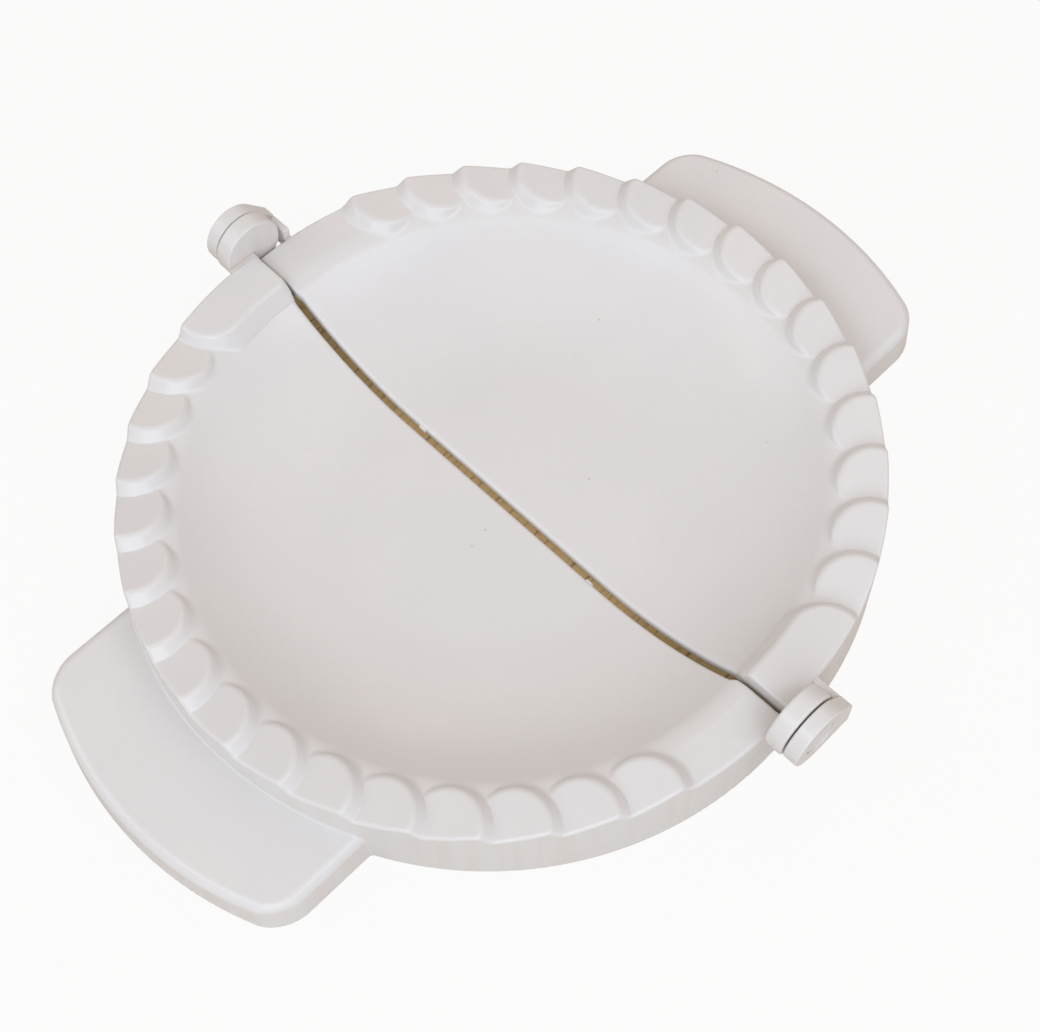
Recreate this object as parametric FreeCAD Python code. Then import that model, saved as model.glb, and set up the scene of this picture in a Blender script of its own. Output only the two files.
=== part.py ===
import FreeCAD, Part
import math
import os

# Empanada press, lying open and flat. Millimetres, Z up.
# The origin is on the table plane, straight below the middle of the hinge line.
# X runs along the hinge line, the near half lies at -Y and the far half at +Y.

V = FreeCAD.Vector
X_AXIS = V(1, 0, 0)
Z_AXIS = V(0, 0, 1)

# Rim and skirt
rim_radius = 65.0
rim_centre_setback = 2.9      # the rim's centre lies this far from the hinge line
rim_gap = 0.8                 # gap between the two halves at the rim
cut_gap = 1.5                 # wider gap along the bowl
cut_back_end = 1.4            # the wider gap stops this far inside the bowl's edge
rim_height = 16.0             # table to the tips of the scales
skirt_flare = 0.45            # how much wider the skirt is at the table
wall = 2.2                    # skirt, rim and handle wall
rim_width = 9.0               # from the bowl's edge to the rim's outer face

# Bowl
bowl_depth = 13.5             # below the tips of the scales
bowl_flat_radius = 24.0
bowl_wall = 2.0
bowl_bands = 4                # straight steps that make up the curve of the bowl's side
under_bands = 2               # the same on its underside
cut_lip_chamfer = 0.6         # the bowl's edge along the cut

# Crimping scales
scale_count = 15
scale_pitch_deg = 9.85
first_edge_deg = 15.26        # leading edge of the long pad, from the hinge direction
step_height = 2.3             # from the low level up to a scale's tip
scale_radius = 6.4            # each scale is a tilted disc of this radius
scale_reach = 8.8             # from the rim's outer face in to the scale's innermost point
scale_bulge = 0.9             # the round leading edge passes its own angle by this much
scale_front_run = 0.75        # how far the foot of the leading wall lies ahead of its edge
scale_depth = 6.0             # thickness of the disc, its lower part hidden in the rim
scale_root = 1.1              # how far scales and pads run down into the rim
scale_edge_chamfer = 0.35
rim_edge_chamfer = 0.35       # along the outer top edge of the rim and the long pad

# Handle tongue
handle_half_width = 29.9
handle_length = 18.6          # out from the rim
handle_edge_radius = 65.4     # curve of the far edge, seen from above
handle_corner_radius = 5.8
handle_height = 7.6
handle_flare = 0.6            # how much wider the handle is at the table, on each side
handle_top_round = 1.8

# Hinge
axis_above_rim = 0.3
hinge_side_gap = 0.3          # between the skirt and the lug, and between lug and ear
lug_radius = 6.2
lug_width = 3.5
lug_edge_chamfer = 0.35
ear_radius = 5.9
ear_width = 2.8
ear_edge_chamfer = 0.4
arm_gap = 0.5                 # between the lug's round edge and the arm behind it
arm_thickness = 1.4
arm_top_below_rim = 0.2
root_depth = 1.4              # how deep the lugs and arms run into the skirt
root_below_flat = 0.1         # the root's top below the rim's low flat beside it
pin_radius = 3.15
pin_press = 0.02              # the pin is this much thicker than the hole in its lug
pin_running_clearance = 0.07  # between the pin and the hole in the ear
pin_recess = 0.25             # the pin's end below the ear's outer face
pin_end_chamfer = 0.4
lug_skin = 0.5                # left at the blind end of the lug's hole

# Gate marks, the small nibs left by the mould on the cut edges
nib_x = 22.0
nib_length = 1.6
nib_width = 0.35
nib_height = 0.9

overrun = 1.0                 # cutting bodies pass the solid by this much
near_enough = 0.01            # for finding an edge by its place

# Levels and places worked out from the sizes above
low_level = rim_height - step_height
rim_under = low_level - wall
root_level = low_level - scale_root
floor_level = rim_height - bowl_depth
half_gap = cut_gap / 2
rim_half_gap = rim_gap / 2
bowl_edge_radius = rim_radius - rim_width
scale_inner_radius = rim_radius - scale_reach
scale_centre_radius = scale_inner_radius + scale_radius
outer_reach = rim_radius + 2 * skirt_flare + overrun
handle_reach = rim_centre_setback + rim_radius + handle_length
hinge_level = rim_height + axis_above_rim
lug_inner_x = rim_radius + skirt_flare / 2 + hinge_side_gap
lug_outer_x = lug_inner_x + lug_width
lug_depth = lug_width - lug_skin
ear_inner_x = lug_outer_x + hinge_side_gap
ear_outer_x = ear_inner_x + ear_width
arm_front_y = lug_radius + arm_gap
arm_back_y = arm_front_y + arm_thickness


def bowl_arc():
    # Radius of the bowl's curved side, tangent to its flat floor and through its edge.
    run = bowl_edge_radius - bowl_flat_radius
    rise = low_level - floor_level
    return (run * run + rise * rise) / (2 * rise)


def curve_points(radius, last_angle, bands):
    # Points along the bowl's side in the section plane, angles from straight down.
    centre_level = floor_level + bowl_arc()
    points = []
    for number in range(bands + 1):
        angle = last_angle * number / bands
        x = bowl_flat_radius + radius * math.sin(angle)
        points.append(V(x, 0, centre_level - radius * math.cos(angle)))
    return points


def section_wire():
    # Section through bowl, rim and skirt, in the XZ plane, from the middle outwards.
    # The bowl's side runs in narrow straight bands, which turn into cones.
    inner = bowl_arc()
    outer = inner + bowl_wall
    inner_angle = math.asin((bowl_edge_radius - bowl_flat_radius) / inner)
    outer_angle = math.acos((floor_level + inner - rim_under) / outer)
    far_x = rim_radius + skirt_flare + overrun
    skirt_x = rim_radius - wall
    above = curve_points(inner, inner_angle, bowl_bands)
    under = curve_points(outer, outer_angle, under_bands)
    points = [V(0, 0, floor_level)] + above
    break_x = rim_radius - rim_edge_chamfer
    points += [V(break_x, 0, low_level), V(far_x, 0, low_level + break_x - far_x)]
    points += [V(far_x, 0, 0), V(skirt_x, 0, 0), V(skirt_x, 0, rim_under)]
    points += list(reversed(under)) + [V(0, 0, floor_level - bowl_wall), points[0]]
    return Part.makePolygon(points)


def bowl_and_rim():
    # The section turned half a turn, then run straight on to the cut face.
    centre = V(0, -rim_centre_setback, 0)
    half_face = Part.Face(section_wire())
    half_face.translate(centre)
    turned = half_face.revolve(centre, Z_AXIS, -180)
    straight_run = V(0, rim_centre_setback - rim_half_gap, 0)
    right = half_face.extrude(straight_run)
    left = right.mirror(V(0, 0, 0), X_AXIS)
    body = turned.multiFuse([right, left]).removeSplitter()
    side = bowl_edge_radius - cut_back_end
    body = body.cut(block(-side, side, -half_gap, 0, -overrun, rim_height))
    lip = [e for e in body.Edges if on_cut_face(e) and on_bowl_side(e)]
    return body.makeChamfer(cut_lip_chamfer, lip)


def on_cut_face(edge):
    box = edge.BoundBox
    return box.YMin > -half_gap - near_enough and box.YMax < -half_gap + near_enough


def on_bowl_side(edge):
    # True for an edge of the bowl's inner surface, false for one of its underside.
    middle = edge.valueAt((edge.FirstParameter + edge.LastParameter) / 2)
    if abs(middle.x) > bowl_edge_radius:
        return False
    run = max(0, abs(middle.x) - bowl_flat_radius)
    level = floor_level + bowl_arc() - math.sqrt(bowl_arc() ** 2 - run ** 2)
    return abs(middle.z - level) < bowl_wall / 4


def rim_envelope():
    # The D-shaped block that trims rim, scales and skirt to their flared outer face.
    tall = rim_height + overrun
    foot_radius = rim_radius + skirt_flare
    top_radius = foot_radius - skirt_flare * tall / rim_height
    centre = V(0, -rim_centre_setback, 0)
    profile = Part.makePolygon([
        centre,
        centre + V(foot_radius, 0, 0),
        centre + V(top_radius, 0, tall),
        centre + V(0, 0, tall),
        centre,
    ])
    face = Part.Face(profile)
    turned = face.revolve(centre, Z_AXIS, -180)
    right = face.extrude(V(0, rim_centre_setback - rim_half_gap, 0))
    left = right.mirror(V(0, 0, 0), X_AXIS)
    return turned.multiFuse([right, left]).removeSplitter()


def scale_disc():
    # A scale's disc, its top at the origin's level, its upper edge broken.
    body = Part.makeCylinder(scale_radius, scale_depth, V(0, 0, -scale_depth))
    top_edge = [e for e in body.Edges if e.BoundBox.ZMin > -near_enough]
    return body.makeChamfer(scale_edge_chamfer, top_edge)


def scale_solid():
    # One scale with its leading edge along +X, its highest point level with the rim's height.
    pitch_run = scale_centre_radius * math.radians(scale_pitch_deg)
    tilt = math.atan2(step_height, pitch_run - scale_front_run)
    body = scale_disc()
    body.translate(V(scale_centre_radius, -scale_radius, 0))
    body.rotate(V(0, 0, 0), X_AXIS, math.degrees(tilt))
    body.translate(V(0, scale_bulge, rim_height))
    return body.common(above_root())


def above_root():
    # Everything above the level that scales and pads run down to.
    corner = V(-outer_reach, -outer_reach, root_level)
    return Part.makeBox(2 * outer_reach, 2 * outer_reach, rim_height, corner)


def rim_edge_break():
    # A cone about the rim's centre that breaks the outer top edge of the long pad.
    depth = 2 * step_height
    top_radius = rim_radius - rim_edge_chamfer
    foot = V(0, -rim_centre_setback, rim_height - depth)
    return Part.makeCone(top_radius + depth, top_radius, depth, foot)


def polar(radius, degrees, level):
    # A point about the rim's centre, angles counted from +X towards +Y.
    angle = math.radians(degrees)
    return V(radius * math.cos(angle), radius * math.sin(angle) - rim_centre_setback, level)


def pad_section():
    # Section through the long pad on the -X side, its inner top edge broken.
    inner = scale_inner_radius
    points = [
        V(-inner - scale_edge_chamfer, 0, rim_height),
        V(-inner, 0, rim_height - scale_edge_chamfer),
        V(-inner, 0, root_level),
        V(-outer_reach, 0, root_level),
        V(-outer_reach, 0, rim_height),
    ]
    return Part.Face(Part.makePolygon(points + [points[0]]))


def long_pad():
    # The flat-topped pad between the hinge and the first scale, round at its leading end.
    centre = V(0, -rim_centre_setback, 0)
    reach = math.asin((scale_radius - scale_bulge) / scale_centre_radius)
    end_deg = first_edge_deg - math.degrees(reach)
    section = pad_section()
    section.translate(centre)
    straight = section.extrude(V(0, rim_centre_setback - rim_half_gap, 0))
    turned = section.revolve(centre, Z_AXIS, end_deg)
    end = scale_disc()
    end.translate(polar(scale_centre_radius, 180 + end_deg, rim_height))
    end = end.common(above_root())
    body = straight.multiFuse([turned, end]).removeSplitter()
    return body.common(rim_edge_break())


def ring_of_scales():
    # The long pad and the overlapping scales, all on the rim's own centre.
    pieces = [long_pad()]
    one = scale_solid()
    for number in range(1, scale_count + 1):
        scale = one.copy()
        scale.rotate(V(0, 0, 0), Z_AXIS, 180 + first_edge_deg + number * scale_pitch_deg)
        scale.translate(V(0, -rim_centre_setback, 0))
        pieces.append(scale)
    return pieces


def handle_outline(inset, corner_radius, level):
    # The tongue seen from above: straight sides, round corners and a curved far edge.
    side = handle_half_width - inset
    edge_radius = handle_edge_radius - inset
    curve_centre = V(0, handle_edge_radius - handle_reach, level)
    corner_x = side - corner_radius
    corner_run = math.sqrt((edge_radius - corner_radius) ** 2 - corner_x ** 2)
    corner_centre = curve_centre + V(corner_x, -corner_run, 0)
    outwards = V(corner_x, -corner_run, 0).normalize()
    between = (outwards + X_AXIS).normalize()
    start = V(side, -rim_radius / 2, level)
    side_end = corner_centre + X_AXIS * corner_radius
    corner_middle = corner_centre + between * corner_radius
    corner_end = corner_centre + outwards * corner_radius
    far_middle = curve_centre + V(0, -edge_radius, 0)
    right = [
        Part.makeLine(start, side_end),
        Part.Arc(side_end, corner_middle, corner_end).toShape(),
    ]
    far_edge = Part.Arc(corner_end, far_middle, flip_x(corner_end)).toShape()
    left = [
        Part.Arc(flip_x(corner_end), flip_x(corner_middle), flip_x(side_end)).toShape(),
        Part.makeLine(flip_x(side_end), flip_x(start)),
    ]
    back = Part.makeLine(flip_x(start), start)
    return Part.Wire(right + [far_edge] + left + [back])


def flip_x(point):
    return V(-point.x, point.y, point.z)


def handle():
    # The tongue with its rounded top edge, open underneath like the rest of the moulding.
    base = handle_outline(-handle_flare, handle_corner_radius + handle_flare, 0)
    top = handle_outline(0, handle_corner_radius, handle_height)
    body = Part.makeLoft([base, top], True, True)
    rims = [e for e in body.Edges if e.BoundBox.ZMin > handle_height - near_enough]
    rims = [e for e in rims if e.BoundBox.YMin < -rim_radius / 2 - near_enough]
    body = body.makeFillet(handle_top_round, rims)
    inner = handle_outline(wall, handle_corner_radius - wall, 0)
    pocket = Part.Face(inner).extrude(V(0, 0, handle_height - wall))
    skirt_middle = rim_radius - wall / 2
    hollow = Part.makeCylinder(skirt_middle, handle_height, V(0, -rim_centre_setback, 0))
    return body.cut(pocket).cut(hollow)


def half_moulding():
    # One half without its hinge parts, lying at -Y with its long pad at -X.
    body = bowl_and_rim().multiFuse(ring_of_scales())
    body = body.common(rim_envelope())
    return body.fuse(handle()).removeSplitter()


def block(x_from, x_to, y_from, y_to, z_from, z_to):
    corner = V(x_from, y_from, z_from)
    return Part.makeBox(x_to - x_from, y_to - y_from, z_to - z_from, corner)


def lug(root_top):
    # Inner hinge disc of the near half at +X, rooted in the skirt, with a blind hole.
    plate = Part.makeCylinder(lug_radius, lug_width, V(lug_inner_x, 0, hinge_level), X_AXIS)
    outer = [e for e in plate.Edges if e.BoundBox.XMin > lug_outer_x - near_enough]
    plate = plate.makeChamfer(lug_edge_chamfer, outer)
    root_from = rim_radius - root_depth
    root_to = (lug_inner_x + lug_outer_x) / 2
    root_round = Part.makeCylinder(lug_radius, root_to - root_from, V(root_from, 0, hinge_level), X_AXIS)
    bottom = hinge_level - lug_radius
    keep = block(root_from, root_to, -lug_radius, -rim_half_gap, bottom, root_top)
    root = root_round.common(keep)
    hole_radius = pin_radius - pin_press
    hole_start = V(lug_outer_x - lug_depth, 0, hinge_level)
    hole = Part.makeCylinder(hole_radius, lug_depth + overrun, hole_start, X_AXIS)
    return plate.fuse(root).cut(hole)


def ear_outline():
    # Side view of the ear's arm: a web that leaves the disc along its tangent.
    bottom = hinge_level - ear_radius
    top = rim_height - arm_top_below_rim
    drop = hinge_level - top
    span = math.hypot(arm_back_y, drop)
    touch = math.acos(ear_radius / span) - math.atan2(drop, arm_back_y)
    across = ear_radius * math.cos(touch)
    up = ear_radius * math.sin(touch)
    points = [
        V(ear_inner_x, rim_half_gap, bottom),
        V(ear_inner_x, arm_back_y, bottom),
        V(ear_inner_x, arm_back_y, top),
        V(ear_inner_x, across, hinge_level + up),
        V(ear_inner_x, rim_half_gap, hinge_level),
    ]
    return Part.Face(Part.makePolygon(points + [points[0]]))


def ear(root_top):
    # Outer hinge disc of the far half at +X, with its arm to the skirt and the pin's hole.
    plate = Part.makeCylinder(ear_radius, ear_width, V(ear_inner_x, 0, hinge_level), X_AXIS)
    plate = plate.fuse(ear_outline().extrude(V(ear_width, 0, 0))).removeSplitter()
    outer = [e for e in plate.Edges if e.BoundBox.XMin > ear_outer_x - near_enough]
    plate = plate.makeChamfer(ear_edge_chamfer, outer)
    bottom = hinge_level - ear_radius
    top = rim_height - arm_top_below_rim
    bridge_to = ear_inner_x + ear_width / 2
    beam = block(rim_radius, bridge_to, arm_front_y, arm_back_y, bottom, top)
    root = block(rim_radius - root_depth, bridge_to, arm_front_y, arm_back_y, bottom, root_top)
    hole_start = V(ear_inner_x - overrun, 0, hinge_level)
    hole_length = ear_width + 2 * overrun
    hole_radius = pin_radius + pin_running_clearance
    hole = Part.makeCylinder(hole_radius, hole_length, hole_start, X_AXIS)
    return plate.multiFuse([beam, root]).cut(hole).removeSplitter()


def pin():
    # Hinge pin at +X, pressed into the lug and turning in the ear.
    start = lug_outer_x - lug_depth
    end = ear_outer_x - pin_recess
    body = Part.makeCylinder(pin_radius, end - start, V(start, 0, hinge_level), X_AXIS)
    ends = [e for e in body.Edges if e.BoundBox.XMin > end - near_enough]
    return body.makeChamfer(pin_end_chamfer, ends)


def nib(x_middle, inwards):
    # Small gate mark on a cut face; inwards is +1 on the near half and -1 on the far one.
    face_y = -half_gap * inwards
    back_y = face_y - inwards * nib_width
    front_y = face_y + inwards * nib_width
    low = min(back_y, front_y)
    high = max(back_y, front_y)
    top = floor_level - bowl_wall / 4
    left = x_middle - nib_length / 2
    return block(left, left + nib_length, low, high, top - nib_height, top)


def mirrored(shape):
    return shape.mirror(V(0, 0, 0), X_AXIS)


def main():
    os.makedirs("parts", exist_ok=True)
    half = half_moulding()
    pad_root = rim_height - arm_top_below_rim
    flat_root = low_level - root_below_flat
    turned = half.copy()
    turned.rotate(V(0, 0, 0), Z_AXIS, 180)
    near = half.multiFuse([lug(flat_root), mirrored(lug(pad_root)), nib(nib_x, 1)])
    far = turned.multiFuse([ear(pad_root), mirrored(ear(flat_root)), nib(-nib_x, -1)])
    nodes = {
        "near_half": near.removeSplitter(),
        "far_half": far.removeSplitter(),
        "hinge_pin_right": pin(),
        "hinge_pin_left": mirrored(pin()),
    }
    for name, shape in nodes.items():
        shape.exportStep("parts/" + name + ".step")


main()
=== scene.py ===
import math

import bpy
import numpy as np
from mathutils import Matrix, Vector

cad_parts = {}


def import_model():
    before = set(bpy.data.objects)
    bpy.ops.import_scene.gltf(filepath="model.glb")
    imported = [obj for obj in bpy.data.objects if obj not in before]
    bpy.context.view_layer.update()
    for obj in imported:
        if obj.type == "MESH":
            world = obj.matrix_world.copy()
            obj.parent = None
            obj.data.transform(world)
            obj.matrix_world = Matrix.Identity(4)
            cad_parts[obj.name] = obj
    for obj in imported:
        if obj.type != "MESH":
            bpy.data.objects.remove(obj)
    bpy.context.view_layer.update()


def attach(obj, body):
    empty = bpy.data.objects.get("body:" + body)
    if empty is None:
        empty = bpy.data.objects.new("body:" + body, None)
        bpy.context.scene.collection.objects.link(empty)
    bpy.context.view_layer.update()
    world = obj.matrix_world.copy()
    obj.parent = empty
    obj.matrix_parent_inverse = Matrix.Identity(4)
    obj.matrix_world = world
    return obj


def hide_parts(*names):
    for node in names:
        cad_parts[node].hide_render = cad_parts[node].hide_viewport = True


# Looks for the empanada press. Metres, Z up, in the same frame as the solids.
# The shapes are worked out in millimetres, as fields that are negative inside the plastic,
# and turned to metres when the meshes are made.

MM = 0.001

# Rim, skirt and bowl, in millimetres, as in the solids
rim_radius = 65.0
rim_centre_setback = 2.9
rim_half_gap = 0.4
half_gap = 0.75
gap_step_from = 53.8            # where the gap along the bowl starts to narrow
gap_step_to = 55.4
rim_height = 16.0
low_level = 13.7
rim_under = 11.5
skirt_flare = 0.45
wall = 2.2
floor_level = 2.5
bowl_flat_radius = 24.0
bowl_edge_radius = 56.0
bowl_wall = 2.0

# Scales and long pad
scale_count = 15
scale_pitch_deg = 9.85
first_edge_deg = 15.26          # the long pad's edge, counted from the hinge
scale_radius = 6.4
scale_inner_radius = 56.2
scale_bulge = 0.9               # how far a front's middle stands ahead of its edge's angle
scale_front_run = 0.75
scale_flare_deg = 32            # how far the scales' sides lean out towards their foot

# Handle
handle_half_width = 29.9
handle_reach = 86.5
handle_edge_radius = 65.4
handle_corner_radius = 4.6
handle_height = 7.6
handle_flare = 0.6

# Hinge
hinge_level = 16.3
lug_radius = 6.2
lug_inner_x = 65.525
lug_outer_x = 69.025
ear_radius = 5.9
ear_inner_x = 69.325
ear_outer_x = 72.125
arm_front_y = 6.7
arm_back_y = 8.1
arm_top = 15.8
root_x = 63.6
pad_root_top = 15.8
flat_root_top = 13.6
pin_radius = 3.15
pin_start_x = 66.025
pin_end_x = 71.875
lug_hole_radius = 3.13
ear_hole_radius = 3.22

# Gate marks
nib_x = 22.0
nib_length = 1.6
nib_width = 0.35
nib_height = 0.9
nib_top = 2.0

# Roundings, which the solids have as small chamfers or leave sharp
scale_edge_round = 0.6
scale_foot_round = 0.4
pad_corner_round = 1.5
bowl_edge_round = 1.4
rim_edge_round = 0.6
cut_edge_round = 0.8            # along the bowl
cut_edge_round_at_rim = 0.25
foot_round = 0.35
under_round = 0.8
handle_top_round = 1.8
handle_foot_round = 0.5
pocket_round = 0.6
disc_edge_round = 0.5
arm_edge_round = 0.3
pin_edge_round = 0.25
hole_edge_round = 0.15

# How the meshes are made, in millimetres where it is a length
moulding_step = 0.32            # spacing of the mesh points
hinge_step = 0.15
nib_step = 0.12
edge_halvings = 6               # how often the search for the surface halves a grid edge
settling_moves = 3              # moves that bring each mesh point onto the surface
slope_nudge = 0.01              # distance over which a field's slope is measured
least_steepness = 0.25          # keeps those moves short where a field is nearly flat
weakest_crease = 0.08           # share of the strongest slope below which a cell is smooth
crease_deg = 20
corner_shift = 0.3              # how far a doubtful corner is moved to its triangle's middle
shortest_slope = 1e-6           # these two keep a division from being by zero
smallest_area = 1e-9
# Painted shade in the tight corners: how far they are felt, and how often it is smoothed.
painted_shade_reaches = (0.4, 0.8)       # how far the tight corners are felt
painted_shade_smoothings = 2

# Camera, as the photograph was taken
camera_azimuth_deg = 46.96
camera_elevation_deg = 61.74
camera_roll_deg = -2.19
camera_distance = 301.83 * MM
camera_right = 3.18 * MM        # how far the camera sits to the right of its aim
camera_down = 8.98 * MM
camera_aim_level = 16.0 * MM
lens_in_pixels = 1741.83
picture_width = 1040
film_width_mm = 36.0
camera_near_clip = 10.0 * MM

# Plastic. A tone is a share of the plastic's colour. A noise gives its number of features in a
# metre and its detail. A range gives where a pattern starts to show and where it shows in full.
plastic_colour = (0.745, 0.722, 0.702)
pin_colour = (0.75, 0.728, 0.705)
pin_pattern_shift = 0.37        # in metres, so the pins don't repeat the mouldings' pattern
cool_tone = (0.975, 0.98, 0.988)
warm_tone = (0.96, 0.92, 0.87)
# Warm painted shade in the tight corners.
painted_shade_tone = (0.72, 0.52, 0.36)
speck_tone = (0.62, 0.55, 0.5)
cloud_noise = (38.0, 3.0)
cloud_range = (0.35, 0.65)
grain_noise = (900.0, 2.0)
grain_range = (0.3, 0.8)
grain_strength = 0.2
mark_noise = (420.0, 1.0)
mark_stretch = (1.0, 1.0, 0.02)
mark_range = (0.42, 0.66)
mark_strengths = (0.2, 0.7)
speck_scale = 150.0
speck_range = (0.055, 0.02)
speck_strength = 0.5
patch_noise = (75.0, 0.0)       # the patches in which the specks lie
patch_range = (0.62, 0.68)
wall_range = (0.55, 0.25)       # by how much a surface faces up or down
# Where the painted corner shade starts and shows in full, and how strong it gets.
painted_shade_range = (0.12, 0.75)
painted_shade_strength = 0.55
gloss_range = (0.3, 0.7)
roughnesses = (0.2, 0.26)
wave_noise = (130.0, 1.0)
wave_height = 0.8               # this and the next one are shares of the bump's height
mark_height = 0.15
bump_height = 0.05
bump_strength = 0.3
plastic_ior = 1.46

# Floor: pale card, with a strip of brown board where the gap between the halves looks down.
# The board shows only in the far half's shade, so its brown is partly painted shade.
floor_reach = 5.0               # in metres
floor_roughness = 0.9
card_light = (0.67, 0.61, 0.55, 1.0)
card_dark = (0.62, 0.56, 0.50, 1.0)
card_noise = (300.0, 4.0)
card_glow = 0.92                # share of plain white that the camera sees on the card
board_light = (0.62, 0.42, 0.19, 1.0)
board_dark = (0.25, 0.16, 0.08, 1.0)
board_noise = (1100.0, 3.0)
board_stretch = (1.0, 0.12, 1.0)
board_range = (0.5, 0.68)
board_strength = 0.8
board_glow = 0.28
board_reach_x = 63.5
board_from_y = -1.2
board_to_y = 7.0
board_edge = 0.5
# The far half's shade over the board, which decides where the brown is painted.
cover_distance = 40.0           # how far the board looks for the half above it
cover_y = 0.8                   # the way it looks
cover_z = 0.6
cover_samples = 8
cover_range = (0.8, 0.55)
white = (1.0, 1.0, 1.0, 1.0)

# Light: soft from all round, and lamps. Each lamp has a name, its azimuth and elevation in
# degrees, its size in metres and its power in red, green and blue. The smaller lamps draw the
# thin bright lines along the rounded edges.
soft_light_colour = (1.0, 0.91, 0.85, 1.0)
soft_light_strength = 0.43
lamp_distance = 0.9             # in metres
lamps = [
    ("camera_side", 47, 35, 0.8, (3.46, 4.02, 4.58)),
    ("left", 317, 35, 0.6, (1.50, 1.50, 1.54)),
    ("right_low", 137, 35, 0.5, (0.58, 0.54, 0.58)),
    ("right_high", 105, 52, 0.4, (1.11, 1.15, 1.26)),
    ("front", 355, 52, 0.3, (0.43, 0.48, 0.60)),
    ("back", 182, 55, 0.5, (0.36, 0.34, 0.32)),
    ("back_left", 227, 35, 0.5, (0.62, 0.50, 0.38)),
]

# Sizes that follow from those above
bowl_run = bowl_edge_radius - bowl_flat_radius
bowl_rise = low_level - floor_level
bowl_arc = (bowl_run * bowl_run + bowl_rise * bowl_rise) / (2 * bowl_rise)
scale_centre_radius = scale_inner_radius + scale_radius
scale_pitch_run = scale_centre_radius * math.radians(scale_pitch_deg)
scale_tilt = math.atan2(rim_height - low_level, scale_pitch_run - scale_front_run)
pad_end_reach = math.asin((scale_radius - scale_bulge) / scale_centre_radius)
pad_end_deg = first_edge_deg - math.degrees(pad_end_reach)

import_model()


def both(a, b, radius):
    # What is inside both shapes, with the edge between them rounded.
    corner = np.hypot(np.maximum(a + radius, 0), np.maximum(b + radius, 0))
    return np.minimum(np.maximum(a, b), -radius) + corner


def either(a, b, radius):
    # What is inside either shape, with a fillet of this radius between them.
    corner = np.hypot(np.maximum(radius - a, 0), np.maximum(radius - b, 0))
    return np.maximum(np.minimum(a, b), radius) - corner


def without(a, b, radius):
    # Shape a with b cut away, the new edges rounded.
    return both(a, -b, radius)


def between(value, low, high):
    # What lies between two planes.
    return np.maximum(low - value, value - high)


def ring_distance(x, y):
    # Distance from the rim's centre, or from its middle line where the sides run straight.
    from_centre = np.hypot(x, y + rim_centre_setback)
    return np.where(y < -rim_centre_setback, from_centre, np.abs(x))


def above_bowl(ring, z):
    # Height over the bowl's surface, measured square to it.
    run = np.maximum(ring - bowl_flat_radius, 0)
    return bowl_arc - np.hypot(run, z - floor_level - bowl_arc)


def flared(top, side):
    # A flat top with a side that leans out towards its foot.
    lean = math.radians(scale_flare_deg)
    leaning = side * math.cos(lean) + top * math.sin(lean)
    return both(top, leaning, scale_edge_round)


def scales(x, y, z):
    # The overlapping scales, tilted discs. Each point looks at the three nearest ones.
    across = x
    along = y + rim_centre_setback
    from_hinge = (np.degrees(np.arctan2(along, across)) - 180) % 360
    ahead = np.ceil((from_hinge - first_edge_deg) / scale_pitch_deg)
    over_rim = z - rim_height
    result = None
    for shift in (-1, 0, 1):
        number = np.clip(ahead + shift, 1, scale_count)
        angle = np.radians(180 + first_edge_deg + number * scale_pitch_deg)
        out = across * np.cos(angle) + along * np.sin(angle) - scale_centre_radius
        forward = along * np.cos(angle) - across * np.sin(angle) - scale_bulge
        on_top = forward * math.cos(scale_tilt) + over_rim * math.sin(scale_tilt)
        over_top = over_rim * math.cos(scale_tilt) - forward * math.sin(scale_tilt)
        side = np.hypot(out, on_top + scale_radius) - scale_radius
        one = flared(over_top, side)
        result = one if result is None else np.minimum(result, one)
    return result


def long_pad(x, y, z):
    # The flat pad between the hinge and the first scale, round at its leading end.
    angle = math.radians(180 + pad_end_deg)
    along = y + rim_centre_setback
    out = x * math.cos(angle) + along * math.sin(angle) - scale_centre_radius
    forward = along * math.cos(angle) - x * math.sin(angle)
    round_end = np.hypot(out, forward) - scale_radius
    bowl_side = both(scale_inner_radius - ring_distance(x, y), y + rim_half_gap, pad_corner_round)
    outline = np.where(forward > 0, round_end, bowl_side)
    shape = flared(z - rim_height, outline)
    empty = rim_radius
    return np.where(x < 0, shape, empty)


def handle(x, y, z):
    # The tongue, open underneath. It starts inside the skirt's wall.
    flare = handle_flare * (1 - z / handle_height)
    sides = np.abs(x) - handle_half_width - flare
    curve_y = handle_edge_radius - handle_reach
    far_edge = np.hypot(x, y - curve_y) - handle_edge_radius - flare
    outline = both(sides, far_edge, handle_corner_radius)
    shape = both(outline, z - handle_height, handle_top_round)
    pocket = both(outline + wall, z - handle_height + wall, pocket_round)
    shape = without(shape, pocket, foot_round)
    return np.maximum(shape, rim_radius - wall / 2 - ring_distance(x, y))


def along_cut(x, at_bowl, at_rim):
    # A size that changes smoothly along the cut, from the bowl's to the rim's.
    share = np.clip((np.abs(x) - gap_step_from) / (gap_step_to - gap_step_from), 0, 1)
    return at_bowl + (at_rim - at_bowl) * share * share * (3 - 2 * share)


def only_where(near, field, x, y, z):
    # The field near its shape, and a plainly empty value elsewhere.
    empty = float(wall)
    result = np.full(x.shape, empty)
    result[near] = field(x[near], y[near], z[near])
    return result


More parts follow.
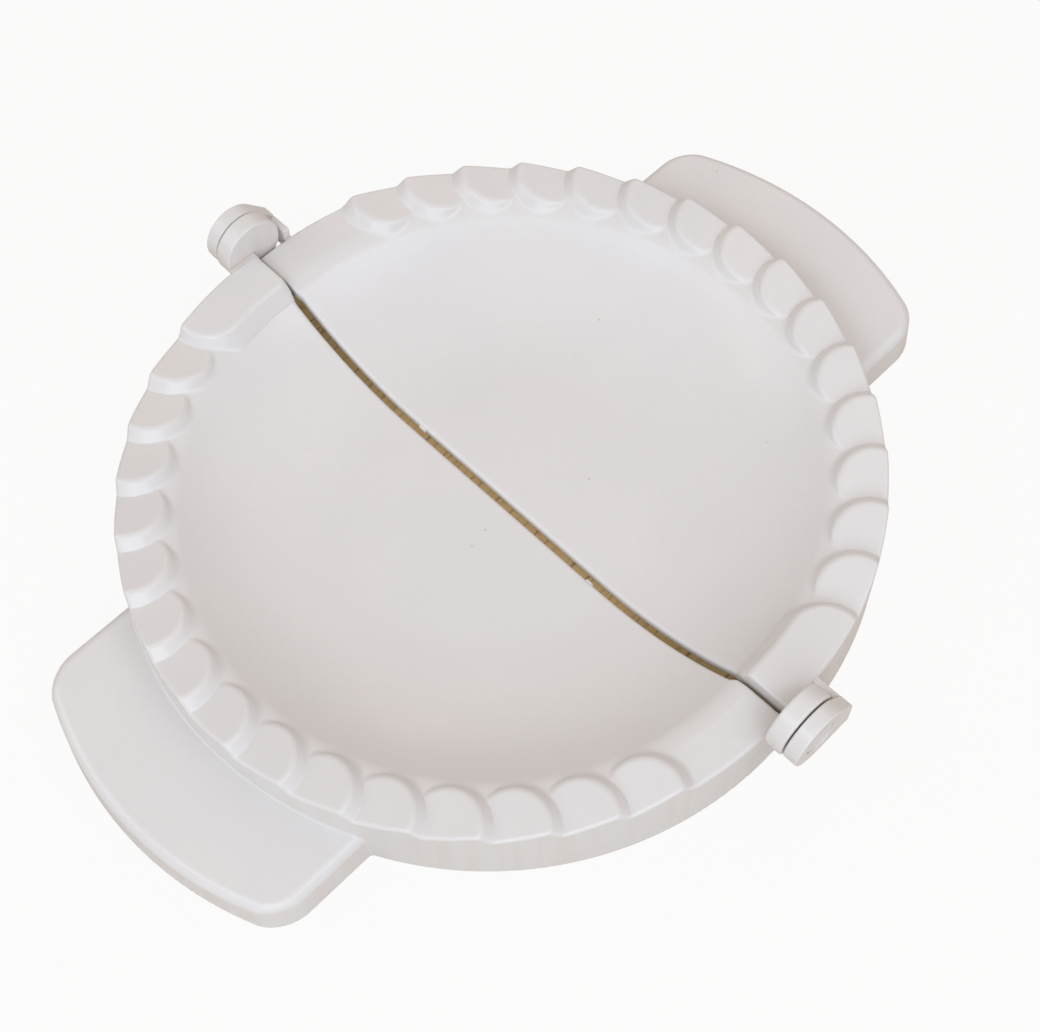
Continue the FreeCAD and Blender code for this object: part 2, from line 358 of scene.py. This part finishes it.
def half_moulding(x, y, z):
    # One half without its hinge parts, lying at -Y with its long pad at -X.
    ring = ring_distance(x, y)
    over_bowl = above_bowl(ring, z)
    body = both(over_bowl, z - low_level, bowl_edge_round)
    at_rim = (z > rim_under) & (ring > scale_inner_radius - wall)
    body = either(body, only_where(at_rim, scales, x, y, z), scale_foot_round)
    body = either(body, only_where(at_rim, long_pad, x, y, z), scale_foot_round)
    outer = ring - rim_radius - skirt_flare * (1 - z / rim_height)
    body = both(body, outer, rim_edge_round)
    cut = y + along_cut(x, half_gap, rim_half_gap)
    body = both(body, cut, along_cut(x, cut_edge_round, cut_edge_round_at_rim))
    hollow = both(ring - rim_radius + wall, z - rim_under, under_round)
    hollow = both(hollow, over_bowl + bowl_wall, under_round)
    body = without(body, hollow, foot_round)
    at_handle = (z < handle_height + wall) & (ring > rim_radius - 2 * wall) & (y < -rim_radius / 2)
    body = either(body, only_where(at_handle, handle, x, y, z), handle_foot_round)
    return both(body, -z, foot_round)


def disc(x, y, z, radius, x_from, x_to, edge_round):
    # A round plate or bar about the hinge line.
    around = np.hypot(y, z - hinge_level) - radius
    return both(around, between(x, x_from, x_to), edge_round)


def box_field(x, y, z, sides, edge_round):
    # A block with rounded edges; sides gives its lowest and highest x, y and z.
    x_low, x_high, y_low, y_high, z_low, z_high = sides
    shape = both(between(x, x_low, x_high), between(y, y_low, y_high), edge_round)
    return both(shape, between(z, z_low, z_high), edge_round)


def lug(x, y, z, root_top):
    # Inner hinge disc of the near half at +X, with its root on the rim and its blind hole.
    plate = disc(x, y, z, lug_radius, lug_inner_x, lug_outer_x, disc_edge_round)
    root_to = (lug_inner_x + lug_outer_x) / 2
    round_bar = disc(x, y, z, lug_radius, root_x, root_to, 0)
    keep = between(y, -lug_radius, -rim_half_gap)
    root = np.maximum(np.maximum(round_bar, keep), z - root_top)
    shape = np.minimum(plate, root)
    hole = disc(x, y, z, lug_hole_radius, pin_start_x, lug_outer_x + wall, 0)
    return without(shape, hole, hole_edge_round)


def ear(x, y, z, root_top):
    # Outer hinge disc of the far half at +X, with a web down to its arm and the skirt.
    bottom = hinge_level - ear_radius
    up = z - hinge_level
    drop = hinge_level - arm_top
    touch = math.acos(ear_radius / math.hypot(arm_back_y, drop)) - math.atan2(drop, arm_back_y)
    past_disc = up * math.cos(touch) - y * math.sin(touch)
    over_web = y * math.cos(touch) + up * math.sin(touch) - ear_radius
    web = np.maximum(over_web, past_disc)
    web = np.maximum(web, both(y - arm_back_y, bottom - z, arm_edge_round))
    web = np.maximum(web, rim_half_gap - y)
    outline = np.minimum(np.hypot(y, up) - ear_radius, web)
    plate = both(outline, between(x, ear_inner_x, ear_outer_x), arm_edge_round)
    bridge_to = (ear_inner_x + ear_outer_x) / 2
    beam_sides = (rim_radius, bridge_to, arm_front_y, arm_back_y, bottom, arm_top)
    root_sides = (root_x, bridge_to, arm_front_y, arm_back_y, bottom, root_top)
    arm = np.minimum(
        box_field(x, y, z, beam_sides, arm_edge_round),
        box_field(x, y, z, root_sides, arm_edge_round),
    )
    shape = np.minimum(plate, arm)
    hole = disc(x, y, z, ear_hole_radius, ear_inner_x - wall, ear_outer_x + wall, 0)
    return without(shape, hole, hole_edge_round)


def pin(x, y, z):
    # The hinge pin at +X.
    return disc(x, y, z, pin_radius, pin_start_x, pin_end_x, pin_edge_round)


def nib(x, y, z):
    # The gate mark on the cut face.
    sides = (
        nib_x - nib_length / 2, nib_x + nib_length / 2,
        -half_gap - nib_width, -half_gap + nib_width,
        nib_top - nib_height, nib_top,
    )
    return box_field(x, y, z, sides, nib_width / 2)


def sample(field, axes):
    # The field on a grid, worked out level by level.
    x, y = np.meshgrid(axes[0], axes[1], indexing="ij")
    levels = [field(x, y, np.full_like(x, z)) for z in axes[2]]
    return np.stack(levels, axis=2)


def slopes(field, points):
    # The field's value and slope at each point.
    value = field(*points.T)
    slope = np.empty_like(points)
    for axis in range(3):
        shifted = points.copy()
        shifted[:, axis] += slope_nudge
        ahead = field(*shifted.T)
        shifted[:, axis] -= 2 * slope_nudge
        slope[:, axis] = (ahead - field(*shifted.T)) / (2 * slope_nudge)
    return value, slope


def normals_of(field, points):
    # The way out of the plastic at each point.
    slope = slopes(field, points)[1]
    length = np.maximum(np.linalg.norm(slope, axis=1), shortest_slope)
    return slope / length[:, None]


def crossings(axes, values, field):
    # Where the grid's edges pass through the surface, and the four cells round each such edge.
    inside = values < 0
    cells = np.array(values.shape) - 1
    spots = []
    around = []
    for axis in range(3):
        others = [(axis + 1) % 3, (axis + 2) % 3]
        lower = [slice(None)] * 3
        upper = [slice(None)] * 3
        lower[axis] = slice(0, -1)
        upper[axis] = slice(1, None)
        starts = inside[tuple(lower)]
        crossed = np.argwhere(starts != inside[tuple(upper)])
        start = np.stack([axes[a][crossed[:, a]] for a in range(3)], axis=1)
        low_end = start[:, axis].copy()
        high_end = low_end + axes[axis][1] - axes[axis][0]
        outwards = starts[tuple(crossed.T)]
        for _ in range(edge_halvings):
            start[:, axis] = (low_end + high_end) / 2
            past = (field(*start.T) < 0) != outwards
            high_end = np.where(past, start[:, axis], high_end)
            low_end = np.where(past, low_end, start[:, axis])
        start[:, axis] = (low_end + high_end) / 2
        spots.append(start)
        quad = []
        for back in ((0, 0), (1, 0), (1, 1), (0, 1)):
            cell = crossed.copy()
            cell[:, others[0]] -= back[0]
            cell[:, others[1]] -= back[1]
            quad.append(np.ravel_multi_index(tuple(cell.T), tuple(cells)))
        quad = np.stack(quad, axis=1)
        quad[~outwards] = quad[~outwards][:, ::-1]
        around.append(quad)
    return np.concatenate(spots), np.concatenate(around)


def gather(numbers, rows, total):
    # Sums the rows, given for each grid edge, into the four cells round it.
    spread = np.repeat(rows, 4, axis=0)
    columns = [np.bincount(numbers.ravel(), spread[:, i], total) for i in range(rows.shape[1])]
    return np.stack(columns, axis=1)


def skin(field, low, high, step):
    # Points and triangles of the surface where the field is zero, inside the box. Each cell's
    # point is put where the planes through its crossings meet, so creases stay sharp.
    axes = [np.arange(a - step, b + 2 * step, step) for a, b in zip(low, high)]
    spots, around = crossings(axes, sample(field, axes), field)
    facing = normals_of(field, spots)
    used, numbers = np.unique(around, return_inverse=True)
    numbers = numbers.reshape(around.shape)
    total = len(used)
    count = np.bincount(numbers.ravel(), minlength=total)[:, None]
    middle = gather(numbers, spots, total) / count
    outer = facing[:, :, None] * facing[:, None, :]
    planes = gather(numbers, outer.reshape(-1, 9), total)
    heights = (facing * spots).sum(axis=1)[:, None]
    pulls = gather(numbers, facing * heights, total)
    planes = planes.reshape(-1, 3, 3)
    pulls = pulls - np.einsum("nij,nj->ni", planes, middle)
    strength, direction = np.linalg.eigh(planes)
    weak = strength < weakest_crease * strength[:, 2:]
    strength = np.where(weak, np.inf, strength)
    along = np.einsum("nij,ni->nj", direction, pulls) / strength
    move = np.einsum("nij,nj->ni", direction, along)
    points = middle + np.clip(move, -step, step)
    for _ in range(settling_moves):
        value, slope = slopes(field, points)
        steepness = np.maximum((slope ** 2).sum(axis=1), least_steepness)
        move = slope * (value / steepness)[:, None]
        points = points - np.clip(move, -step / 2, step / 2)
    return points, two_triangles(field, points, numbers)


def two_triangles(field, points, quads):
    # Each quad is split along the diagonal that lies closer to the surface.
    first = np.abs(field(*((points[quads[:, 0]] + points[quads[:, 2]]) / 2).T))
    second = np.abs(field(*((points[quads[:, 1]] + points[quads[:, 3]]) / 2).T))
    turn = second < first
    quads = np.where(turn[:, None], np.roll(quads, -1, axis=1), quads)
    triangles = np.concatenate([quads[:, [0, 1, 2]], quads[:, [0, 2, 3]]])
    a, b, c = triangles.T
    real = (a != b) & (b != c) & (a != c)
    return triangles[real]


def corner_normals(field, points, triangles):
    # One normal for each corner. Next to a crease it is taken from its own side of it.
    normals = normals_of(field, points)[triangles]
    corners = points[triangles]
    flat = np.cross(corners[:, 1] - corners[:, 0], corners[:, 2] - corners[:, 0])
    flat = flat / np.maximum(np.linalg.norm(flat, axis=1), smallest_area)[:, None]
    agree = np.einsum("nij,nj->ni", normals, flat)
    doubtful = agree < math.cos(math.radians(crease_deg))
    centre = corners.mean(axis=1, keepdims=True)
    inwards = corners + corner_shift * (centre - corners)
    normals[doubtful] = normals_of(field, inwards[doubtful])
    agree = np.einsum("nij,nj->ni", normals, flat)
    wrong = agree < math.cos(math.radians(2 * crease_deg))
    normals[wrong] = np.broadcast_to(flat[:, None, :], normals.shape)[wrong]
    return normals


def turned(points):
    # Half a turn about Z, from the near half to the far half.
    return points * np.array([-1, -1, 1])


def flipped(points):
    # Mirrored, from the hinge's right end to its left end.
    return points * np.array([-1, 1, 1])


def make_piece(name, parts, material, body, stands_for):
    # One mesh from several parts, each with its points, corner normals, triangles and painted
    # shade.
    points = np.concatenate([part[0] for part in parts])
    normals = np.concatenate([part[1] for part in parts])
    starts = np.cumsum([0] + [len(part[0]) for part in parts[:-1]])
    triangles = np.concatenate([part[2] + start for part, start in zip(parts, starts)])
    painted_shades = np.concatenate([part[3] for part in parts])
    data = bpy.data.meshes.new(name)
    data.vertices.add(len(points))
    data.vertices.foreach_set("co", (points * MM).astype(np.float32).ravel())
    data.loops.add(triangles.size)
    data.loops.foreach_set("vertex_index", triangles.astype(np.int32).ravel())
    data.polygons.add(len(triangles))
    data.polygons.foreach_set("loop_start", np.arange(0, triangles.size, 3, dtype=np.int32))
    data.polygons.foreach_set("use_smooth", np.ones(len(triangles), bool))
    data.update(calc_edges=True)
    data.normals_split_custom_set(normals.reshape(-1, 3).astype(np.float32))
    # Painted shade for the tight corners, kept on the mesh for the material.
    painted_shade = data.attributes.new("painted_shade", "FLOAT", "POINT")
    painted_shade.data.foreach_set("value", painted_shades.astype(np.float32))
    data.materials.append(material)
    piece = bpy.data.objects.new(name, data)
    bpy.context.scene.collection.objects.link(piece)
    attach(piece, body)
    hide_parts(stands_for)
    return piece


def painted_shade_of(field, points):
    # How deep in a tight corner each point lies: 0 in the open, about 1 at a deep foot line.
    # It sets how much shade is painted there.
    painted_shade = np.zeros(len(points))
    facing = normals_of(field, points)
    for reach in painted_shade_reaches:
        room = field(*(points + facing * reach).T) / reach
        painted_shade += np.clip(1 - room, 0, 1) / len(painted_shade_reaches)
    return painted_shade


def smoothed(values, triangles):
    # Each value mixed with those of its neighbours on the mesh.
    for _ in range(painted_shade_smoothings):
        shares = values[triangles].mean(axis=1)
        total = np.bincount(triangles.ravel(), np.repeat(shares, 3), len(values))
        values = total / np.maximum(np.bincount(triangles.ravel(), minlength=len(values)), 1)
    return values


def part_of(field, low, high, step):
    # Points, corner normals, triangles and painted shade of the shape that the field gives.
    points, triangles = skin(field, low, high, step)
    normals = corner_normals(field, points, triangles)
    return points, normals, triangles, smoothed(painted_shade_of(field, points), triangles)


def turned_part(part):
    points, normals, triangles, painted_shades = part
    return turned(points), turned(normals), triangles, painted_shades


def flipped_part(part):
    # The corners change their order, so that the triangles still face outwards.
    points, normals, triangles, painted_shades = part
    return flipped(points), flipped(normals)[:, ::-1], triangles[:, ::-1], painted_shades


def build_pieces(plastic, pin_material):
    moulding = part_of(
        half_moulding,
        (-rim_radius - wall, -handle_reach - wall, 0),
        (rim_radius + wall, 0, rim_height),
        moulding_step,
    )
    mark = part_of(
        nib,
        (nib_x - nib_length, -half_gap - nib_width, nib_top - nib_height),
        (nib_x + nib_length, -half_gap + nib_width, nib_top),
        nib_step,
    )
    low = (root_x, -lug_radius, hinge_level - lug_radius)
    high = (ear_outer_x, arm_back_y, hinge_level + lug_radius)
    lug_flat = part_of(lambda x, y, z: lug(x, y, z, flat_root_top), low, high, hinge_step)
    lug_pad = part_of(lambda x, y, z: lug(x, y, z, pad_root_top), low, high, hinge_step)
    ear_flat = part_of(lambda x, y, z: ear(x, y, z, flat_root_top), low, high, hinge_step)
    ear_pad = part_of(lambda x, y, z: ear(x, y, z, pad_root_top), low, high, hinge_step)
    pin_part = part_of(pin, low, high, hinge_step)
    near = [moulding, mark, lug_flat, flipped_part(lug_pad)]
    far = [turned_part(moulding), turned_part(mark), ear_pad, flipped_part(ear_flat)]
    make_piece("near_half_moulding", near, plastic, "near", "near_half")
    make_piece("far_half_moulding", far, plastic, "far", "far_half")
    make_piece("right_pin", [pin_part], pin_material, "near", "hinge_pin_right")
    make_piece(
        "left_pin", [flipped_part(pin_part)], pin_material, "near",
        "hinge_pin_left",
    )


class Nodes:
    # Short ways of adding and joining shader nodes.

    def __init__(self, tree):
        self.tree = tree
        self.tree.nodes.clear()

    def add(self, kind, **settings):
        node = self.tree.nodes.new("ShaderNode" + kind)
        for key, value in settings.items():
            setattr(node, key, value)
        return node

    def feed(self, socket, value):
        if isinstance(value, bpy.types.NodeSocket):
            self.tree.links.new(value, socket)
        else:
            socket.default_value = value

    def math(self, operation, first, second=0.0):
        node = self.add("Math", operation=operation)
        self.feed(node.inputs[0], first)
        self.feed(node.inputs[1], second)
        return node.outputs[0]

    def ramp(self, value, low, high, to_low=0.0, to_high=1.0):
        node = self.add("MapRange", interpolation_type="SMOOTHSTEP")
        for socket, given in zip(node.inputs, (value, low, high, to_low, to_high)):
            self.feed(socket, given)
        return node.outputs[0]

    def noise(self, place, scale, detail=2.0):
        node = self.add("TexNoise")
        self.feed(node.inputs["Vector"], place)
        node.inputs["Scale"].default_value = scale
        node.inputs["Detail"].default_value = detail
        return node.outputs["Fac"]

    def stretched(self, place, scale):
        node = self.add("Mapping")
        self.feed(node.inputs["Vector"], place)
        node.inputs["Scale"].default_value = scale
        return node.outputs[0]

    def blend(self, share, first, second):
        node = self.add("Mix", data_type="RGBA")
        self.feed(node.inputs[0], share)
        self.feed(node.inputs[6], first)
        self.feed(node.inputs[7], second)
        return node.outputs[2]

    def mixed(self, share, first, second):
        node = self.add("MixShader")
        self.feed(node.inputs[0], share)
        self.feed(node.inputs[1], first.outputs[0])
        self.feed(node.inputs[2], second.outputs[0])
        return node

    def finish(self, shader, kind="OutputMaterial"):
        output = self.add(kind)
        self.feed(output.inputs["Surface"], shader.outputs[0])


def new_material(name):
    material = bpy.data.materials.new(name)
    material.use_nodes = True
    return material, Nodes(material.node_tree)


def tinted(colour, tone):
    return tuple(part * share for part, share in zip(colour, tone)) + (1.0,)


def moulded_plastic(name, colour, pattern_shift):
    # Glossy pale plastic: cloudy tone and gloss, fine grain, specks, drawing marks on the
    # upright walls and a warm painted shade down in the tight corners.
    material, nodes = new_material(name)
    where = nodes.add("TexCoord").outputs["Object"]
    place = nodes.add("Mapping")
    nodes.feed(place.inputs["Vector"], where)
    place.inputs["Location"].default_value = (pattern_shift,) * 3
    place = place.outputs[0]
    facing = nodes.add("SeparateXYZ")
    nodes.feed(facing.inputs[0], nodes.add("TexCoord").outputs["Normal"])
    upright = nodes.ramp(nodes.math("ABSOLUTE", facing.outputs["Z"]), *wall_range)

    cloudy = nodes.noise(place, *cloud_noise)
    grainy = nodes.noise(place, *grain_noise)
    marks = nodes.noise(nodes.stretched(place, mark_stretch), *mark_noise)
    speck = nodes.add("TexVoronoi")
    nodes.feed(speck.inputs["Vector"], place)
    speck.inputs["Scale"].default_value = speck_scale
    speck = nodes.ramp(speck.outputs["Distance"], *speck_range)
    patch = nodes.ramp(nodes.noise(place, *patch_noise), *patch_range)
    speck = nodes.math("MULTIPLY", speck, patch)
    # Painted shade in the tight corners, from the mesh.
    painted_shade = nodes.add("Attribute", attribute_name="painted_shade").outputs["Fac"]

    warm = tinted(colour, warm_tone)
    tone = nodes.blend(nodes.ramp(cloudy, *cloud_range), (*colour, 1.0), tinted(colour, cool_tone))
    tone = nodes.blend(nodes.ramp(grainy, *grain_range, 0.0, grain_strength), tone, warm)
    drawn = nodes.math("MULTIPLY", upright, nodes.ramp(marks, *mark_range, *mark_strengths))
    tone = nodes.blend(drawn, tone, warm)
    speck = nodes.math("MULTIPLY", speck, speck_strength)
    tone = nodes.blend(speck, tone, tinted(colour, speck_tone))
    painted_shade = nodes.ramp(painted_shade, *painted_shade_range, 0.0, painted_shade_strength)
    tone = nodes.blend(painted_shade, tone, tinted(colour, painted_shade_tone))

    bump = nodes.add("Bump")
    bump.inputs["Strength"].default_value = bump_strength
    bump.inputs["Distance"].default_value = bump_height * MM
    wavy = nodes.math("MULTIPLY", nodes.noise(place, *wave_noise), wave_height)
    lines = nodes.math("MULTIPLY", nodes.math("MULTIPLY", upright, marks), mark_height)
    nodes.feed(bump.inputs["Height"], nodes.math("ADD", wavy, lines))

    shader = nodes.add("BsdfPrincipled")
    nodes.feed(shader.inputs["Base Color"], tone)
    nodes.feed(shader.inputs["Roughness"], nodes.ramp(cloudy, *gloss_range, *roughnesses))
    nodes.feed(shader.inputs["Normal"], bump.outputs[0])
    shader.inputs["IOR"].default_value = plastic_ior
    nodes.finish(shader)
    return material


def direction(azimuth_deg, elevation_deg):
    # The way out from the middle, the azimuth counted from -Y towards +X.
    azimuth = math.radians(azimuth_deg)
    elevation = math.radians(elevation_deg)
    return Vector((
        math.sin(azimuth) * math.cos(elevation),
        -math.cos(azimuth) * math.cos(elevation),
        math.sin(elevation),
    ))


def place_camera():
    azimuth = math.radians(camera_azimuth_deg)
    roll = math.radians(camera_roll_deg)
    back = direction(camera_azimuth_deg, camera_elevation_deg)
    right = Vector((math.cos(azimuth), math.sin(azimuth), 0))
    up = back.cross(right)
    turned_right = right * math.cos(roll) + up * math.sin(roll)
    turned_up = up * math.cos(roll) - right * math.sin(roll)
    data = bpy.data.cameras.new("camera")
    data.lens = lens_in_pixels * film_width_mm / picture_width
    data.sensor_width = film_width_mm
    data.sensor_fit = "HORIZONTAL"
    data.clip_start = camera_near_clip
    camera = bpy.data.objects.new("camera", data)
    bpy.context.scene.collection.objects.link(camera)
    place = back * camera_distance + turned_right * camera_right - turned_up * camera_down
    place += Vector((0, 0, camera_aim_level))
    axes = Matrix((turned_right, turned_up, back)).transposed()
    camera.matrix_world = Matrix.Translation(place) @ axes.to_4x4()
    bpy.context.scene.camera = camera


def area_lamp(name, azimuth_deg, elevation_deg, size, power):
    # A soft lamp aimed at the middle. Its brightest colour gives the lamp's power.
    place = lamp_distance * direction(azimuth_deg, elevation_deg)
    data = bpy.data.lights.new(name, "AREA")
    data.shape = "SQUARE"
    data.size = size
    data.energy = max(power)
    data.color = [part / max(power) for part in power]
    lamp = bpy.data.objects.new(name, data)
    bpy.context.scene.collection.objects.link(lamp)
    lamp.location = place
    lamp.rotation_euler = (-place).to_track_quat("-Z", "Y").to_euler()


def board_in_painted_shade(nodes, where):
    # Where the board shows: in the strip under the gap, and only while the far half lies over
    # it and keeps the light off. Its brown there is partly painted shade.
    parts = nodes.add("SeparateXYZ")
    nodes.feed(parts.inputs[0], where)
    edge = board_edge * MM
    along = nodes.math("ABSOLUTE", parts.outputs["X"])
    board_in_shade = nodes.ramp(along, board_reach_x * MM, board_reach_x * MM - edge)
    start = nodes.ramp(parts.outputs["Y"], board_from_y * MM - edge, board_from_y * MM)
    end = nodes.ramp(parts.outputs["Y"], board_to_y * MM + edge, board_to_y * MM)
    towards_far_half = nodes.add("CombineXYZ")
    towards_far_half.inputs["Y"].default_value = cover_y
    towards_far_half.inputs["Z"].default_value = cover_z
    cover = nodes.add("AmbientOcclusion", samples=cover_samples)
    cover.inputs["Distance"].default_value = cover_distance * MM
    nodes.feed(cover.inputs["Normal"], towards_far_half.outputs[0])
    # Painted shade: the board shows only where the far half shades it.
    far_half_shade = nodes.ramp(cover.outputs["AO"], *cover_range)
    for share in (start, end, far_half_shade):
        board_in_shade = nodes.math("MULTIPLY", board_in_shade, share)
    return board_in_shade


def floor_material():
    # Pale card and brown board, the board partly painted shade. For the camera both also glow by
    # themselves, so that the card looks white and keeps only a little of the shadow.
    material, nodes = new_material("pale_card")
    where = nodes.add("TexCoord").outputs["Object"]
    board_in_shade = board_in_painted_shade(nodes, where)
    fibres = nodes.noise(where, *card_noise)
    card = nodes.blend(fibres, card_light, card_dark)
    grain = nodes.noise(nodes.stretched(where, board_stretch), *board_noise)
    grain = nodes.ramp(grain, *board_range, 0.0, board_strength)
    board = nodes.blend(grain, board_light, board_dark)

    surface = nodes.add("BsdfPrincipled")
    nodes.feed(surface.inputs["Base Color"], nodes.blend(board_in_shade, card, board))
    surface.inputs["Roughness"].default_value = floor_roughness
    glow = nodes.add("Emission")
    nodes.feed(glow.inputs["Color"], nodes.blend(board_in_shade, white, board))
    seen = nodes.add("LightPath").outputs["Is Camera Ray"]
    share = nodes.math("MULTIPLY", seen, nodes.ramp(board_in_shade, 0.0, 1.0, card_glow, board_glow))
    nodes.finish(nodes.mixed(share, surface, glow))
    return material


def floor():
    data = bpy.data.meshes.new("floor")
    low = -floor_reach
    high = floor_reach
    corners = [(low, low, 0), (high, low, 0), (high, high, 0), (low, high, 0)]
    data.from_pydata(corners, [], [(0, 1, 2, 3)])
    piece = bpy.data.objects.new("floor", data)
    bpy.context.scene.collection.objects.link(piece)
    data.materials.append(floor_material())


def world():
    # Soft light from all round; the camera itself sees plain white.
    backdrop = bpy.data.worlds.new("studio")
    bpy.context.scene.world = backdrop
    backdrop.use_nodes = True
    nodes = Nodes(backdrop.node_tree)
    soft = nodes.add("Background")
    soft.inputs["Color"].default_value = soft_light_colour
    soft.inputs["Strength"].default_value = soft_light_strength
    plain = nodes.add("Background")
    plain.inputs["Color"].default_value = white
    seen = nodes.add("LightPath").outputs["Is Camera Ray"]
    nodes.finish(nodes.mixed(seen, soft, plain), "OutputWorld")


build_pieces(
    moulded_plastic("moulded_plastic", plastic_colour, 0.0),
    moulded_plastic("pin_plastic", pin_colour, pin_pattern_shift),
)
place_camera()
floor()
world()
for lamp in lamps:
    area_lamp(*lamp)
bpy.context.scene.view_settings.view_transform = "Standard"
